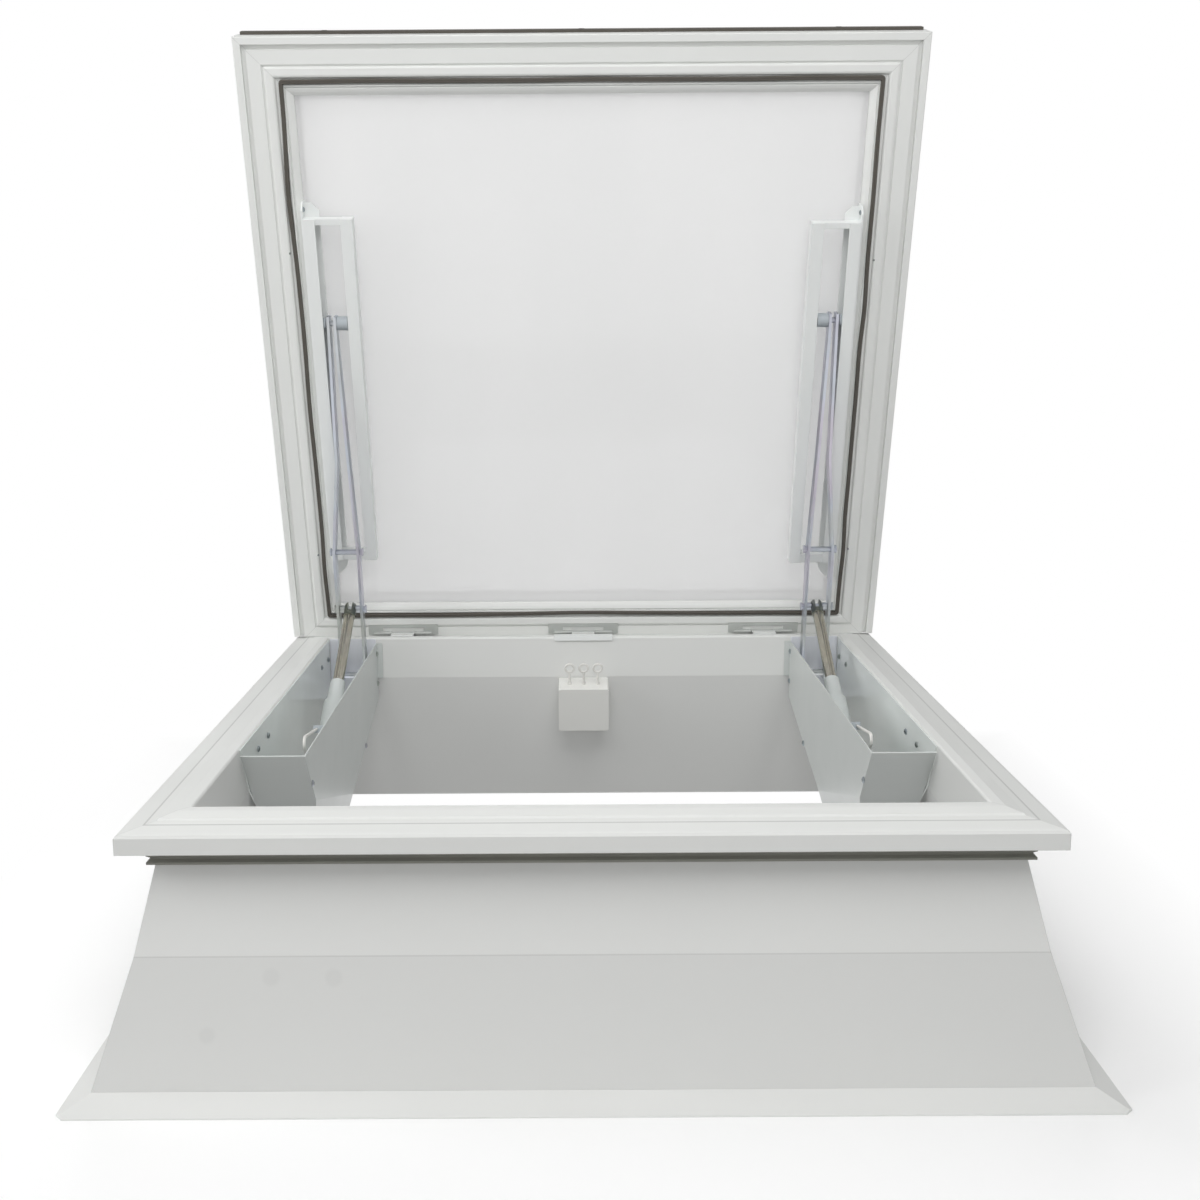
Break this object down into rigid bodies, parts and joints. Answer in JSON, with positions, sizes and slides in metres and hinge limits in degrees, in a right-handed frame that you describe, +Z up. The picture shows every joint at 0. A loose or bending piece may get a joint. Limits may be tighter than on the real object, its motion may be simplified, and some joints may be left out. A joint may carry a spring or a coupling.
{
  "type": "opening roof window",
  "caption": "Flat-roof window on a sloped upstand, its glazed sash raised on hinges by spindle drives, arm pairs and guide rails.",
  "frame": {"origin": "middle of the underside of the base flange", "axes": "+Z up, +X along the hinges, +Y from the free edge toward the hinges"},
  "size_m": [1.294, 1.294, 1.4311],
  "materials": {
    "box_plastic": "white plastic",
    "bracket_zinc": "zinc plated",
    "cable_white": "white cable sheath",
    "clear_glass": "clear pane",
    "curb_pvc": "smooth white rigid PVC",
    "frame_pvc": "satin white PVC profile",
    "gasket_rubber": "dark brown rubber gasket",
    "grey_plastic": "grey polyamide",
    "hinge_steel": "grey coated steel",
    "housing_white": "white coated sheet",
    "opal_glass": "diffusing pane",
    "rail_white": "white powder coat",
    "sash_pvc": "satin white PVC profile",
    "seal_rubber": "grey-green rubber seal",
    "sleeve_plastic": "pale grey plastic",
    "spacer_alu": "mill finish",
    "tube_steel": "drawn stainless tube",
    "zinc_steel": "zinc plated"
  },
  "bodies": {
    "root": {"arms_inner": "zinc_steel", "arms_outer": "zinc_steel", "base_flange": "curb_pvc", "bead_free": "sash_pvc", "bead_hinge_side": "sash_pvc", "bead_left": "sash_pvc", "bead_right": "sash_pvc", "box_leads": "cable_white", "clevis_pins": "zinc_steel", "clevis_spacers": "zinc_steel", "cross_pins": "zinc_steel", "curb_wall_front": "curb_pvc", "curb_wall_hinge_side": "curb_pvc", "curb_wall_left": "curb_pvc", "curb_wall_right": "curb_pvc", "drip_edge": "gasket_rubber", "drive_bodies": "sleeve_plastic", "drive_clevises": "zinc_steel", "drive_leads": "cable_white", "drive_tubes": "tube_steel", "foot_brackets": "bracket_zinc", "foot_pins": "zinc_steel", "frame_front": "frame_pvc", "frame_hinge_side": "frame_pvc", "frame_left": "frame_pvc", "frame_right": "frame_pvc", "frame_seal": "seal_rubber", "guide_end_bars": "rail_white", "guide_inner_bars": "rail_white", "guide_outer_bars": "rail_white", "hinge_frame_leaves": "rail_white", "hinge_pins": "hinge_steel", "hinge_sash_leaves": "hinge_steel", "housing_covers": "housing_white", "housing_wall_plates": "housing_white", "inner_pane": "clear_glass", "junction_box": "box_plastic", "junction_box_lid": "box_plastic", "lead_clips": "grey_plastic", "outer_pane": "opal_glass", "pane_spacer": "spacer_alu", "pivot_brackets": "bracket_zinc", "pivot_pins": "zinc_steel", "roller_bushes": "grey_plastic", "roller_pins": "zinc_steel", "roller_wheels": "grey_plastic", "sash_gasket": "gasket_rubber", "sash_rail_free": "sash_pvc", "sash_rail_hinge_side": "sash_pvc", "sash_stile_left": "sash_pvc", "sash_stile_right": "sash_pvc"}
  },
  "joints": []
}
